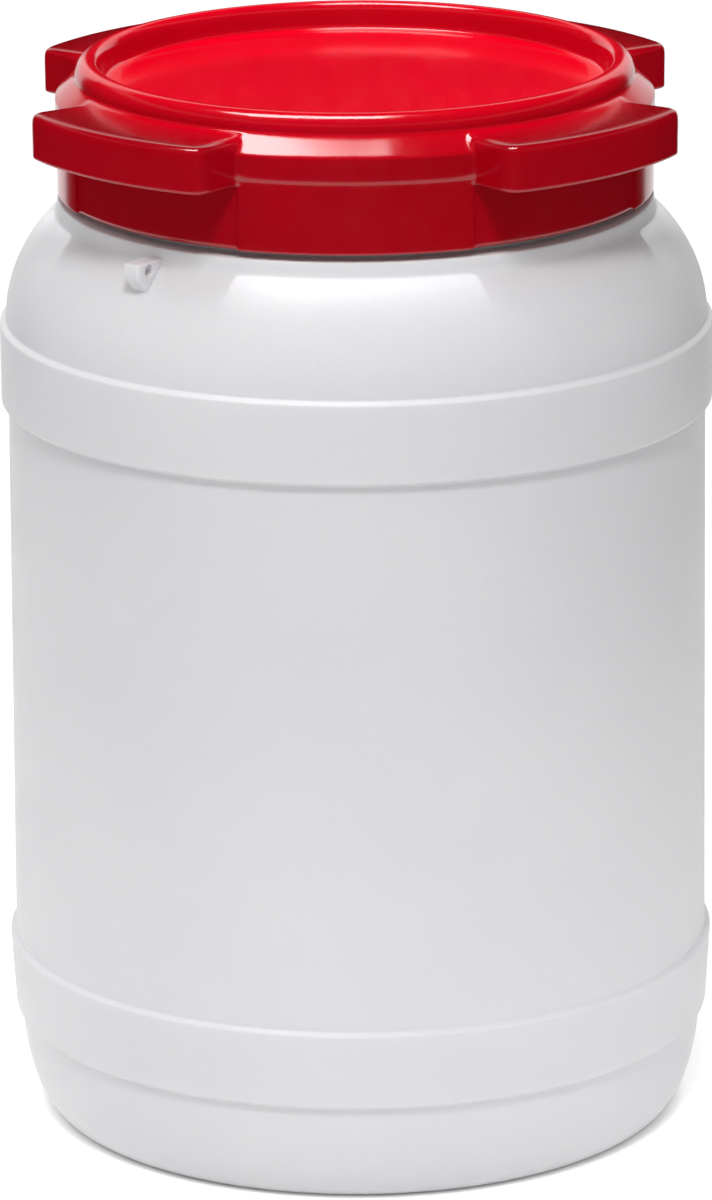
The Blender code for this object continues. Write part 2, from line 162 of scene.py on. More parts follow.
class Bench:
    """Workbench on which every new mesh is shaped with edit-mode operators."""

    @staticmethod
    def clear() -> None:
        """Leaves edit mode and deselects every object."""
        if bpy.context.object and bpy.context.object.mode != "OBJECT":
            bpy.ops.object.mode_set(mode="OBJECT")
        bpy.ops.object.select_all(action="DESELECT")

    @staticmethod
    def take(piece: Piece) -> None:
        """Selects one piece alone and makes it active, in object mode."""
        Bench.clear()
        piece.select_set(True)
        bpy.context.view_layer.objects.active = piece

    @staticmethod
    def adopt(name: str) -> Piece:
        """Names the primitive that was just added and opens it in edit mode, selected all over."""
        piece = bpy.context.object
        piece.name = piece.data.name = name
        bpy.ops.object.mode_set(mode="EDIT")
        bpy.ops.mesh.select_mode(type="VERT")
        bpy.ops.mesh.select_all(action="SELECT")
        return piece

    @staticmethod
    def draw(name: str, outline: Sequence[Point], closed: bool = False) -> Piece:
        """Draws a section in the XZ plane by extruding a single point along it.

        Args:
            name: Name of the new piece.
            outline: The section's points as (radius, height).
            closed: Whether the section returns to its first point.

        Returns:
            The piece, in edit mode and selected all over.
        """
        Bench.clear()
        bpy.ops.mesh.primitive_plane_add(size=0.01, location=ORIGIN)
        piece = Bench.adopt(name)
        bpy.ops.mesh.merge(type="CENTER")
        places = [Vector((radius, 0.0, height)) for radius, height in outline]
        if closed:
            places.append(places[0])
        bpy.ops.transform.translate(value=places[0])
        for here, there in zip(places, places[1:]):
            bpy.ops.mesh.extrude_vertices_move(TRANSFORM_OT_translate={"value": there - here})
        bpy.ops.mesh.select_all(action="SELECT")
        if closed:
            bpy.ops.mesh.remove_doubles(threshold=MERGE)
        return piece

    @staticmethod
    def grid(name: str, cuts: int, width: float, depth: float) -> Piece:
        """Returns a flat panel at the origin, in edit mode and selected all over.

        Args:
            name: Name of the panel.
            cuts: Number of its squares along each side.
            width: Its length along X.
            depth: Its length along Y.
        """
        Bench.clear()
        bpy.ops.mesh.primitive_grid_add(x_subdivisions=cuts, y_subdivisions=cuts, size=1.0, location=ORIGIN)
        panel = Bench.adopt(name)
        bpy.ops.transform.resize(value=(width, depth, 1.0))
        return panel

    @staticmethod
    def spin(columns: int, angle: float = math.tau) -> None:
        """Turns the open piece's section round the axis by an angle in radians, and closes its seam and poles."""
        bpy.ops.mesh.spin(steps=columns, dupli=False, angle=angle, use_auto_merge=True, center=ORIGIN,
                          axis=(0.0, 0.0, 1.0))
        Bench.heal()

    @staticmethod
    def heal() -> None:
        """Merges doubled points, drops what has no area, and turns every face outwards."""
        bpy.ops.mesh.select_all(action="SELECT")
        bpy.ops.mesh.remove_doubles(threshold=MERGE)
        bpy.ops.mesh.dissolve_degenerate(threshold=MERGE)
        bpy.ops.mesh.select_all(action="SELECT")
        bpy.ops.mesh.normals_make_consistent(inside=False)

    @staticmethod
    def pick(piece: Piece, kind: Kind, test: Callable[..., bool]) -> None:
        """Selects the open piece's points, edges or faces that pass a test, and only those.

        Args:
            piece: The piece, in edit mode.
            kind: What is selected.
            test: Says whether a point, edge or face is wanted.
        """
        bpy.ops.mesh.select_mode(type=kind.name)
        bpy.ops.mesh.select_all(action="DESELECT")
        shape = bmesh.from_edit_mesh(piece.data)
        for element in [each for each in getattr(shape, kind.value) if test(each)]:
            element.select_set(True)
        bmesh.update_edit_mesh(piece.data)

    @staticmethod
    def groups(piece: Piece, key: Callable[[Vert], Hashable]) -> dict[Hashable, list[int]]:
        """Sorts the open piece's points into groups, and leaves out those that have no key.

        Args:
            piece: The piece, in edit mode.
            key: Gives a point's key, or None.

        Returns:
            The numbers of each group's points, by key.
        """
        shape = bmesh.from_edit_mesh(piece.data)
        shape.verts.index_update()
        found: dict[Hashable, list[int]] = {}
        for vert in shape.verts:
            label = key(vert)
            if label is not None:
                found.setdefault(label, []).append(vert.index)
        return found

    @staticmethod
    def points(piece: Piece, numbers: Iterable[int]) -> None:
        """Selects the open piece's points by number, and only those."""
        wanted = set(numbers)
        bmesh.from_edit_mesh(piece.data).verts.index_update()
        Bench.pick(piece, Kind.VERT, lambda vert: vert.index in wanted)

    @staticmethod
    def widen(piece: Piece, numbers: Iterable[int], scale: float) -> None:
        """Moves points away from the axis by a factor."""
        Bench.points(piece, numbers)
        bpy.ops.transform.resize(value=(scale, scale, 1.0), center_override=ORIGIN)

    @staticmethod
    def widen_column(piece: Piece, angle: float, scale: float) -> None:
        """Moves the points that stand at one angle round the axis away from it by a factor."""
        column = Bench.groups(piece, lambda vert: vert.co.xy.length > ON_AXIS and abs(
            (heading(vert.co) - angle + FULL_TURN / 2) % FULL_TURN - FULL_TURN / 2) < SAME_ANGLE)
        Bench.widen(piece, column.get(True, []), scale)

    @staticmethod
    def turn(angle: float) -> None:
        """Turns what is selected round the axis, clockwise for a positive angle in radians."""
        bpy.ops.transform.rotate(value=angle, orient_axis="Z", center_override=ORIGIN)

    @staticmethod
    def reshape(piece: Piece, test: Callable[[Vert], bool],
                target: Callable[[float, float], Point]) -> None:
        """Moves points of a turned piece to new radii and heights, one ring of equal points at a time.

        Args:
            piece: The piece, in edit mode.
            test: Says whether a point may move.
            target: Gives a new radius and height for a radius and height.
        """
        rings = Bench.groups(piece, lambda vert: tuple(
            round(size, 6) for size in section(vert.co)) if test(vert) else None)
        for (radius, height), ring in rings.items():
            new_radius, new_height = target(radius, height)
            if max(abs(new_radius - radius), abs(new_height - height)) >= MERGE:
                Bench.widen(piece, ring, new_radius / radius)
                bpy.ops.transform.translate(value=(0.0, 0.0, new_height - height))

    @staticmethod
    def extrude(along: Place) -> None:
        """Extrudes the selected faces."""
        bpy.ops.mesh.extrude_region_move(TRANSFORM_OT_translate={"value": along})

    @staticmethod
    def bevel(width: float, segments: int) -> None:
        """Rounds the selected edges."""
        bpy.ops.mesh.bevel(offset=width, segments=segments, profile=0.5, affect="EDGES", clamp_overlap=True)
        Bench.heal()

    @staticmethod
    def apply(piece: Piece, kind: str, **settings: object) -> None:
        """Adds a modifier to a piece and applies it.

        Args:
            piece: The piece.
            kind: The modifier's type.
            **settings: The modifier's own settings.
        """
        Bench.take(piece)
        modifier = piece.modifiers.new(kind.lower(), kind)
        for name, value in settings.items():
            setattr(modifier, name, value)
        bpy.ops.object.modifier_apply(modifier=modifier.name)

    @staticmethod
    def smooth(piece: Piece, angle: float) -> None:
        """Shades a piece smooth wherever its faces meet at less than an angle."""
        Bench.take(piece)
        bpy.ops.object.shade_smooth_by_angle(angle=math.radians(angle))


@dataclass(frozen=True)
class Pattern:
    """Noise on a piece: waves a metre, octaves, the span of its values that counts, fineness, and stretch by axis."""

    scale: float
    detail: float
    span: Point = (0.0, 1.0)
    fineness: float = 0.5
    stretch: Place = (1.0, 1.0, 1.0)


class NodeBoard:
    """A material's or world's nodes, laid out and wired in short calls."""

    def __init__(self, tree: bpy.types.NodeTree) -> None:
        """Empties a node tree and keeps it."""
        self.tree = tree
        self.tree.nodes.clear()

    def add(self, kind: str, links: dict[str | int, Socket] | None = None,
            values: dict[str | int, object] | None = None, **settings: object) -> Node:
        """Adds a node and wires it.

        Args:
            kind: The node's type, without its prefix.
            links: Output sockets to wire, by the name or number of the input.
            values: Constants, by the name or number of the input.
            **settings: The node's own properties.

        Returns:
            The node.
        """
        node = self.tree.nodes.new(f"ShaderNode{kind}")
        for name, value in settings.items():
            setattr(node, name, value)
        for name, value in (values or {}).items():
            node.inputs[name].default_value = value
        for name, socket in (links or {}).items():
            self.tree.links.new(socket, node.inputs[name])
        return node

    def place(self) -> Socket:
        """Returns the piece's own coordinates."""
        return self.add("TexCoord").outputs["Object"]

    def along(self, axis: str) -> Socket:
        """Returns the piece's own X, Y or Z."""
        return self.add("SeparateXYZ", {"Vector": self.place()}).outputs[axis]

    def out(self) -> Socket:
        """Returns the distance from the drum's axis."""
        flat = self.add("VectorMath", {0: self.place()}, {1: (1.0, 1.0, 0.0)}, operation="MULTIPLY")
        return self.add("VectorMath", {0: flat.outputs[0]}, operation="LENGTH").outputs["Value"]

    def noise(self, pattern: Pattern) -> Socket:
        """Returns a pattern's noise over the piece's own coordinates."""
        mapping = self.add("Mapping", {"Vector": self.place()}, {"Scale": pattern.stretch})
        texture = self.add("TexNoise", {"Vector": mapping.outputs["Vector"]},
                           {"Scale": pattern.scale, "Detail": pattern.detail, "Roughness": pattern.fineness})
        return texture.outputs["Fac"]

    def spread(self, value: Socket, low: float, high: float, span: Point) -> Socket:
        """Maps a span of values onto low to high, clamped."""
        node = self.add("MapRange", {"Value": value},
                        {"From Min": span[0], "From Max": span[1], "To Min": low, "To Max": high})
        return node.outputs["Result"]

    def fade(self, value: Socket, limit: float, width: float) -> Socket:
        """Returns 1 past a limit, and less over a width before it."""
        return self.spread(value, 0.0, 1.0, (limit - width, limit))

    def blend(self, pattern: Pattern, first: Colour, second: Colour) -> Socket:
        """Returns a colour that goes from one to another with a pattern."""
        share = self.spread(self.noise(pattern), 0.0, 1.0, pattern.span)
        node = self.add("Mix", {"Factor": share}, data_type="RGBA")
        for socket in node.inputs:
            if socket.type == "RGBA":
                socket.default_value = (*(first if socket.name == "A" else second), 1.0)
        return next(socket for socket in node.outputs if socket.type == "RGBA")

    def maths(self, operation: str, *values: Socket) -> Socket:
        """Returns the result of a sum on one or two values."""
        return self.add("Math", dict(enumerate(values)), operation=operation).outputs[0]

    def seen(self) -> Socket:
        """Returns 1 for what the camera sees straight, in a reflection or through glass, and 0 for bounced light."""
        rays = self.add("LightPath").outputs
        first = self.maths("MAXIMUM", rays["Is Camera Ray"], rays["Is Glossy Ray"])
        return self.maths("MAXIMUM", first, rays["Is Transmission Ray"])

    def finish(self, shader: Node, kind: str = "OutputMaterial") -> None:
        """Wires a shader to the output."""
        self.add(kind, {"Surface": shader.outputs[0]})


def new_material(name: str) -> tuple[bpy.types.Material, NodeBoard]:
    """Returns a new material and the board of its nodes."""
    material = bpy.data.materials.new(name)
    material.use_nodes = True
    return material, NodeBoard(material.node_tree)


@dataclass(frozen=True)
class Finish:
    """Moulded surface: a cloudy colour, an uneven gloss, and layers of relief from coarse to fine.

    Each layer of relief is a pattern and its depth. A finish without rubs takes its roughness from its sockets.
    """

    name: str
    colour: Colour
    shade: Colour
    clouds: Pattern
    relief: tuple[tuple[Pattern, float], ...]
    sockets: tuple[tuple[str, object], ...]
    rubs: Pattern | None = None
    roughness: Point = (0.5, 0.5)

    def material(self) -> bpy.types.Material:
        """Returns the finish as a material."""
        material, board = new_material(self.name)
        links = {"Base Color": board.blend(self.clouds, self.colour, self.shade)}
        if self.rubs:
            links["Roughness"] = board.spread(board.noise(self.rubs), *self.roughness, self.rubs.span)
        for pattern, depth in self.relief:
            under = {"Normal": links["Normal"]} if "Normal" in links else {}
            bump = board.add("Bump", {"Height": board.noise(pattern), **under}, {"Distance": depth, "Strength": 1.0})
            links["Normal"] = bump.outputs["Normal"]
        board.finish(board.add("BsdfPrincipled", links, dict(self.sockets)))
        return material


WHITE_PLASTIC = Finish(  # Satin polyethylene from the blow mould: slow ripples, faint orange peel and a fine grain.
    "white_polyethylene", (0.80, 0.80, 0.815), (0.775, 0.775, 0.795), Pattern(9.0, 3.0, (0.35, 0.65)),
    relief=((Pattern(22.0, 1.0), 0.00035), (Pattern(260.0, 2.0), 0.00010), (Pattern(1500.0, 2.0), 0.00003)),
    sockets=(("IOR", 1.5), ("Specular IOR Level", 0.25), ("Subsurface Weight", 0.35), ("Subsurface Scale", 0.006),
             ("Subsurface Radius", (1.0, 0.95, 0.9))),
    rubs=Pattern(60.0, 4.0, (0.3, 0.7)), roughness=(0.35, 0.46))
RED_PLASTIC = Finish(  # Glossy moulding: slow sink marks, faint flow clouds, a fine grain and hairline rub marks.
    "red_gloss_plastic", (0.42, 0.0, 0.008), (0.39, 0.0, 0.006), Pattern(16.0, 3.0, (0.35, 0.65)),
    relief=((Pattern(30.0, 1.0), 0.00003), (Pattern(900.0, 2.0), 0.000003)), sockets=(("IOR", 1.5),),
    rubs=Pattern(120.0, 5.0, (0.35, 0.75), 0.6, (1.0, 0.12, 1.0)), roughness=(0.12, 0.17))
SEAL_RUBBER = Finish(  # Matt black sealing rubber with a fine cut grain and a little chalky bloom.
    "seal_rubber_matt", (0.020, 0.020, 0.021), (0.045, 0.045, 0.046), Pattern(70.0, 5.0, (0.45, 0.8)),
    relief=((Pattern(2200.0, 3.0), 0.00004),), sockets=(("Roughness", 0.70), ("IOR", 1.5)))


def dress(pieces: Iterable[Piece], finish: Finish, body: Body, slot: Slot) -> None:
    """Gives pieces their finish and lets them ride on a body.

    Args:
        pieces: The finished pieces.
        finish: Their finish.
        body: The body that they move with.
        slot: The record's slot that the finish belongs to; not used.
    """
    material = finish.material()
    for piece in pieces:
        piece.data.materials.clear()
        piece.data.materials.append(material)
        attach(piece, body.value)
        LOG.info("%s: %d faces, on %s", piece.name, len(piece.data.polygons), body.value)


@dataclass
class ScrewRidge:
    """Right-handed thread ridge of a neck or a lid: a rounded tooth wound round the axis and thinned at both ends."""

    name: str
    root_radius: float
    crest_radius: float
    low: float
    rise: float = 0.02475
    lead: float = 0.0200
    starts: int = 2
    root_width: float = 0.0040
    crest_width: float = 0.0018
    crest_round: float = 0.35
    steps: int = 150
    fade_steps: int = 12
    thinnest: float = 0.18

    def tooth(self) -> list[Point]:
        """Returns the tooth's outline at the ridge's low end, with a rounded crest."""
        root, crest = self.root_width / 2, self.crest_width / 2
        fillet = self.crest_width * self.crest_round
        return rounded([
            Corner(self.root_radius, self.low - root), Corner(self.crest_radius, self.low - crest, fillet),
            Corner(self.crest_radius, self.low + crest, fillet), Corner(self.root_radius, self.low + root)], 20.0)

    def build(self) -> Piece:
        """Returns the ridges of all starts as one piece of closed solids."""
        outline = self.tooth()
        piece = Bench.draw(self.name, outline, closed=True)
        Bench.apply(piece, "SCREW", axis="Z", angle=math.radians(FULL_TURN * self.rise / self.lead),
                    screw_offset=self.rise, steps=self.steps, render_steps=self.steps, use_merge_vertices=False)
        self.fade(piece, len(outline))
        bpy.ops.mesh.select_all(action="DESELECT")
        bpy.ops.mesh.select_non_manifold()
        bpy.ops.mesh.fill_holes(sides=0)
        for start in range(1, self.starts):
            bpy.ops.mesh.select_all(action="SELECT")
            bpy.ops.mesh.duplicate()
            Bench.turn(math.tau * start / self.starts)
        Bench.heal()
        Bench.smooth(piece, 40.0)
        return piece

    def fade(self, piece: Piece, count: int) -> None:
        """Shrinks the rings at both ends towards the root, in a smooth run-out.

        Args:
            piece: The wound ridge.
            count: Points in one ring.
        """
        bpy.ops.object.mode_set(mode="EDIT")
        rings = len(bmesh.from_edit_mesh(piece.data).verts) // count
        for step in range(self.fade_steps):
            share = (step + 0.6) / self.fade_steps
            size = self.thinnest + (1.0 - self.thinnest) * math.sin(share * math.pi / 2)
            for ring in (step, rings - 1 - step):
                members = range(ring * count, (ring + 1) * count)
                shape = bmesh.from_edit_mesh(piece.data)
                shape.verts.ensure_lookup_table()
                root = (shape.verts[members[0]].co + shape.verts[members[-1]].co) / 2
                Bench.points(piece, members)
                bpy.ops.transform.resize(value=(size, size, size), center_override=root)


@dataclass
class DrumBody:
    """Blow-moulded body: base with a stacking recess, two bands, shoulder, collar, threaded neck and seal eyelet."""

    columns: int = 192
    wall: float = 0.0028
    neck_bore: float = 0.1088
    neck_radius: float = 0.1124
    neck_top: float = 0.4321
    neck_base: float = 0.3886
    thread_low: float = 0.40015
    thread_root: float = 0.0008
    thread_depth: float = 0.0022
    shoulder_radius: float = 0.1439
    shoulder_crown: float = 0.0135
    shoulder_fall: float = 0.0049
    shoulder_drop: float = 0.0254
    shoulder_steps: int = 30
    collar_radius: float = 0.1219
    collar_foot: float = 0.1224
    collar_low: float = 0.3832
    collar_blend: float = 0.0035
    collar_round: float = 0.0009
    collar_hollow: float = 0.0060
    neck_round: float = 0.0010
    rim_rounds: Point = (0.0009, 0.0011)
    liner_round: float = 0.0018
    band_slope: float = 0.0014
    band_round: float = 0.0013
    upper_band_radius: float = 0.1464
    upper_band_high: float = 0.3384
    upper_band_low: float = 0.3034
    wall_radius_top: float = 0.1434
    wall_radius_bottom: float = 0.1447
    lower_band_radius: float = 0.1470
    lower_band_foot: float = 0.1452
    lower_band_high: float = 0.0750
    lower_band_low: float = 0.0425
    corner_width: float = 0.0169
    corner_height: float = 0.0492
    foot_radius: float = 0.1261
    corner_steps: int = 16
    corner_round: float = 0.0012
    recess_radius: float = 0.1156
    recess_depth: float = 0.0032
    recess_round: float = 0.0006
    weld_size: Place = (0.1500, 0.0024, 0.0024)
    weld_round: float = 0.0009
    eyelet_angle: float = 40.6
    eyelet_outline: tuple[Point, ...] = ((0.1304, 0.3708), (0.1370, 0.3781), (0.1370, 0.3845), (0.1190, 0.3845),
                                         (0.1190, 0.3825), (0.1242, 0.3783))
    eyelet_half: float = 0.0040
    eyelet_round: float = 0.0011
    hole_place: Point = (0.1303, 0.3809)
    hole_radius: float = 0.0023
    hole_round: float = 0.0004

    def shoulder(self) -> list[Corner]:
        """Returns the collar under the lid's skirt, and the shoulder's curve from its foot to the upper band."""
        handles = ((self.neck_radius, self.neck_base),
                   (self.neck_radius + self.shoulder_crown, self.neck_base - self.shoulder_fall),
                   (self.shoulder_radius, self.upper_band_high + self.shoulder_drop),
                   (self.shoulder_radius, self.upper_band_high))
        curve = []
        for share in (step / self.shoulder_steps for step in range(self.shoulder_steps)):
            rest = 1.0 - share
            weights = (rest ** 3, 3 * rest ** 2 * share, 3 * rest * share ** 2, share ** 3)
            radius, height = (sum(map(math.prod, zip(weights, places))) for places in zip(*handles))
            if radius > self.collar_foot + self.collar_blend:
                curve.append(Corner(radius, height))
        return [Corner(self.neck_radius, self.neck_base, self.neck_round),
                Corner(self.collar_radius, self.neck_base, self.collar_round),
                Corner(self.collar_foot, self.collar_low, self.collar_hollow), *curve,
                Corner(self.shoulder_radius, self.upper_band_high, self.neck_round)]

    def base_corner(self) -> list[Corner]:
        """Returns the base's rounding from the lower band to the standing ring."""
        start = math.asin(1.0 - self.lower_band_low / self.corner_height)
        curve = []
        for step in range(self.corner_steps + 1):
            angle = start + (math.pi / 2 - start) * step / self.corner_steps
            curve.append(Corner(self.foot_radius + self.corner_width * math.cos(angle),
                                self.corner_height * (1.0 - math.sin(angle)), 0.0 if step else self.corner_round))
        return curve

    def skin(self) -> list[Corner]:
        """Returns the outer side from the collar down to the middle of the base."""
        bands = (
            (self.upper_band_radius, self.upper_band_high - self.band_slope),
            (self.upper_band_radius, self.upper_band_low + self.band_slope),
            (self.wall_radius_top, self.upper_band_low),
            (self.wall_radius_bottom, self.lower_band_high + self.band_slope),
            (self.lower_band_radius, self.lower_band_high),
            (self.lower_band_foot, self.lower_band_low + self.band_slope),
        )
        return [*self.shoulder(), *(Corner(radius, height, self.band_round) for radius, height in bands),
                *self.base_corner(), Corner(self.recess_radius, 0.0, self.recess_round),
                Corner(self.recess_radius - self.recess_depth, self.recess_depth, self.recess_round * 2),
                Corner(0.0, self.recess_depth)]

    def shell(self) -> Piece:
        """Returns the turned body with its wall, rim and base."""
        skin = self.skin()
        liner = inset(skin, self.wall, self.liner_round)[1:-1]
        outer = [Corner(self.neck_bore, self.neck_base), Corner(self.neck_bore, self.neck_top, self.rim_rounds[0]),
                 Corner(self.neck_radius, self.neck_top, self.rim_rounds[1]), *skin]
        inner = [Corner(0.0, self.recess_depth + self.wall), *reversed(liner),
                 Corner(self.neck_bore, self.neck_base - self.wall, 0.0015), Corner(self.neck_bore, self.neck_base)]
        piece = Bench.draw("body_shell", rounded(inner, 30.0) + rounded(outer, 15.0)[1:])
        Bench.spin(self.columns)
        Bench.smooth(piece, 50.0)
        return piece

    def turned(self, piece: Piece, angle: float) -> Piece:
        """Turns a finished piece from +X to the eyelet's place on the drum and shades it below an angle."""
        Bench.clear()
        piece.data.transform(Matrix.Rotation(math.radians(-90.0 - self.eyelet_angle), 4, "Z"))
        Bench.smooth(piece, angle)
        return piece

    def eyelet(self) -> Piece:
        """Returns the seal eyelet: a rounded fin that flares into the shoulder, with a hole for a seal's wire."""
        nose, crown = self.eyelet_outline[2]

        def level(edge: Edge) -> bool:
            """Says whether an edge lies along one side of the fin."""
            return abs(edge.verts[0].co.y - edge.verts[1].co.y) < NEAR

        def outer(edge: Edge) -> bool:
            """Says whether an edge lies on the fin's nose or crown, or runs to the nose along a side."""
            ends = [vert.co.x > nose - NEAR for vert in edge.verts]
            return all(ends) or all(vert.co.z > crown - NEAR for vert in edge.verts) or any(ends) and level(edge)

        def rim(edge: Edge) -> bool:
            """Says whether an edge is part of the hole's rim on one side."""
            return level(edge) and all(abs(math.dist(vert.co.xz, self.hole_place) - self.hole_radius) < NEAR
                                       for vert in edge.verts)

        piece = Bench.draw("seal_eyelet", self.eyelet_outline, closed=True)
        bpy.ops.transform.translate(value=(0.0, -self.eyelet_half, 0.0))
        bpy.ops.mesh.edge_face_add()
        Bench.extrude((0.0, self.eyelet_half * 2, 0.0))
        Bench.heal()
        Bench.pick(piece, Kind.EDGE, outer)
        Bench.bevel(self.eyelet_round, 4)
        Bench.clear()
        bpy.ops.mesh.primitive_cylinder_add(
            vertices=40, radius=self.hole_radius, depth=self.eyelet_half * 6, rotation=(math.pi / 2, 0.0, 0.0),
            location=(self.hole_place[0], 0.0, self.hole_place[1]))
        drill = Bench.adopt("eyelet_drill")
        Bench.apply(piece, "BOOLEAN", operation="DIFFERENCE", solver="EXACT", object=drill)
        bpy.data.objects.remove(drill)
        bpy.ops.object.mode_set(mode="EDIT")
        Bench.pick(piece, Kind.EDGE, rim)
        Bench.bevel(self.hole_round, 3)
        return self.turned(piece, 35.0)

    def weld_line(self) -> Piece:
        """Returns the pinch-off weld under the base: a low rounded bar across the stacking recess."""
        Bench.clear()
        bpy.ops.mesh.primitive_cube_add(size=1.0, location=ORIGIN)
        piece = Bench.adopt("base_weld")
        bpy.ops.transform.resize(value=self.weld_size)
        bpy.ops.transform.translate(value=(0.0, 0.0, self.recess_depth))
        Bench.bevel(self.weld_round, 3)
        return self.turned(piece, 40.0)

    def build(self) -> None:
        """Builds the body's pieces, dressed and riding on the drum."""
        shell = self.shell()
        ridge = ScrewRidge("neck_thread", self.neck_radius - self.thread_root, self.neck_radius + self.thread_depth,
                           self.thread_low)
        dress([shell, ridge.build(), self.eyelet(), self.weld_line()], WHITE_PLASTIC, Body.DRUM, Slot.WHITE)
        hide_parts("drum_body")


@dataclass
class ScrewLid:
    """Moulded lid: crowned panel in a dish, raised ring, sloped roof, full-height pads and hollow grip lugs.

    The lid is a coarse cage first, turned and then pulled out into lugs, and a subdivision surface gives its roundings.
    The tables give the cage's rows as (radius, height).
    """

    columns: int = 48
    lug_count: int = 4
    lug_span: float = 45.0
    lug_draft: float = 6.5
    lug_radius: float = 0.1439
    lug_low: float = 0.4180
    lug_top: float = 0.4365
    ledge: float = 0.4204
    skirt_low: float = 0.3916
    skirt_bore: float = 0.1157
    skirt_radius: float = 0.1207
    pad_radius: float = 0.1218
    edge_radius: float = 0.1222
    roof: float = 0.4383
    ring_radius: float = 0.1142
    ring_foot: Point = (0.1085, 0.4383)
    ring_round: Point = (0.0058, 0.00775)
    lug_wall: float = 0.0025
    lip_insets: Point = (0.0010, 0.0013)
    lip_rise: float = 0.0008
    root_flare: float = 0.0008
    lip_reach: float = 0.0008
    pad_inset: float = 0.0003
    pad_support: float = 0.75
    lug_support: float = 3.8
    row_reach: float = 0.0002
    end_reach: float = 0.02
    true_passes: int = 60
    thread_low: float = 0.39585
    thread_root: float = 0.0008
    thread_depth: float = 0.0024

    def dish_rows(self) -> list[Point]:
        """Returns the rows of the crowned panel and the dish's wall, from the middle out."""
        return [(0.0, 0.43572), (0.0250, 0.43568), (0.0480, 0.43550), (0.0700, 0.43522), (0.0860, 0.43495),
                (0.0960, 0.43472), (0.1003, 0.43465), (0.1024, 0.43485), (0.1032, 0.43630), (0.1037, 0.44020),
                (0.1043, 0.44360), (0.1058, 0.44565)]

    def ring_rows(self) -> list[Point]:
        """Returns the rows of the raised ring's crest and its tall outer rounding, down to the roof."""
        turns = [math.radians(angle) for angle in (76.0, 52.0, 28.0, 9.0)]
        return [(0.1075, 0.44605), *((self.ring_foot[0] + self.ring_round[0] * math.cos(turn),
                                      self.ring_foot[1] + self.ring_round[1] * math.sin(turn)) for turn in turns)]

    def upper_rows(self) -> list[Point]:
        """Returns the rows of the roof's slope and the pads' upper wall, down to where the lugs end."""
        return [(self.ring_radius, self.roof), (0.1160, 0.43652), (0.1211, 0.43149), (self.edge_radius, 0.43050),
                (self.edge_radius, 0.42920), (self.edge_radius, 0.42080), (0.12195, self.ledge),
                (0.12185, 0.41990), (self.pad_radius, self.lug_low)]

    def lug_rows(self) -> list[Point]:
        """Returns where the upper rows go on a lug: its flat top, its rounded edge, its outer wall and its lip."""
        return [(self.ring_radius, self.roof), (0.1160, 0.43652), (0.1385, 0.43650), (0.1441, 0.43660),
                (0.1440, 0.43010), (self.lug_radius, 0.42350), (self.lug_radius, 0.42200), (self.lug_radius, 0.42040),
                (self.lug_radius, self.lug_low)]

    def end_rows(self) -> list[Point]:
        """Returns the rows of points within a lug's end face: beside the pad, then inside the lug's outline."""
        return [(0.1242, 0.43320), (0.1256, 0.43040), (0.1258, 0.42850), (0.1258, 0.42230), (0.1257, 0.42120),
                (0.1256, 0.42000), (0.1252, self.lug_low),
                (0.1310, 0.43440), (0.1350, 0.43200), (0.1355, 0.42900), (0.1355, 0.42300), (0.1355, 0.42180),
                (0.1355, 0.42030), (0.1355, self.lug_low)]

    def lower_rows(self) -> list[Point]:
        """Returns the rows of the pads' lower wall and their lip."""
        return [(self.pad_radius, 0.41730), (self.pad_radius, 0.40650), (self.pad_radius, 0.39300),
                (self.pad_radius, self.skirt_low), (0.1214, self.skirt_low), (self.skirt_radius, self.skirt_low)]

    def inner_rows(self) -> list[Point]:
        """Returns the rows inside: skirt, roof, the hollow ring and the panel's underside."""
        return [(0.1170, self.skirt_low), (self.skirt_bore, self.skirt_low),
                (self.skirt_bore, 0.39300), (self.skirt_bore, 0.41350), (self.skirt_bore, 0.43250),
                (0.1150, 0.43450), (0.1132, 0.43510), (0.1122, 0.43510), (0.1116, 0.43610), (0.1115, 0.44120),
                (0.1103, 0.44320), (0.1090, 0.44330), (0.1081, 0.44200), (0.1071, 0.43380), (0.1062, 0.43250),
                (0.1000, 0.43215), (0.0600, 0.43270), (0.0, 0.43315)]

    def off_middle(self, point: Vector) -> float:
        """Returns a point's angle from the middle of the quarter turn that it is in, where that quarter's lug sits."""
        spacing = FULL_TURN / self.lug_count
        return heading(point) % spacing - spacing / 2

    def in_lug(self, point: Vector) -> bool:
        """Says whether a point lies in a lug's stretch of the turn."""
        return abs(self.off_middle(point)) < self.lug_span / 2

    def lug_faces(self, out: float, low: float, high: float) -> Callable[[Face], bool]:
        """Returns a test for faces in a lug's stretch of the turn, beyond a radius and between two heights."""
        def test(face: Face) -> bool:
            """Says whether a face is one of them."""
            centre = face.calc_center_median()
            return self.in_lug(centre) and centre.xy.length > out and low < centre.z < high

        return test

    def on_end(self, point: Vector) -> bool:
        """Says whether a point lies in a plane where a pad and a lug meet."""
        return abs(abs(self.off_middle(point)) - self.lug_span / 2) < self.end_reach

    def on_rows(self, rows: Iterable[Point]) -> Callable[[Vert], bool]:
        """Returns a test that says whether a point is on one of some rows, in a plane where a pad and a lug meet."""
        return lambda vert: self.on_end(vert.co) and any(
            math.dist(section(vert.co), row) < self.row_reach for row in rows)

    def supports(self) -> list[float]:
        """Returns the angles of the extra columns, which hold the roundings at the lugs' ends."""
        shifts = (self.lug_span / 2 + self.pad_support, self.lug_span / 2 - self.lug_support)
        return [(FULL_TURN * (lug + 0.5) / self.lug_count + side * shift) % FULL_TURN
                for lug in range(self.lug_count) for side in (-1, 1) for shift in shifts]

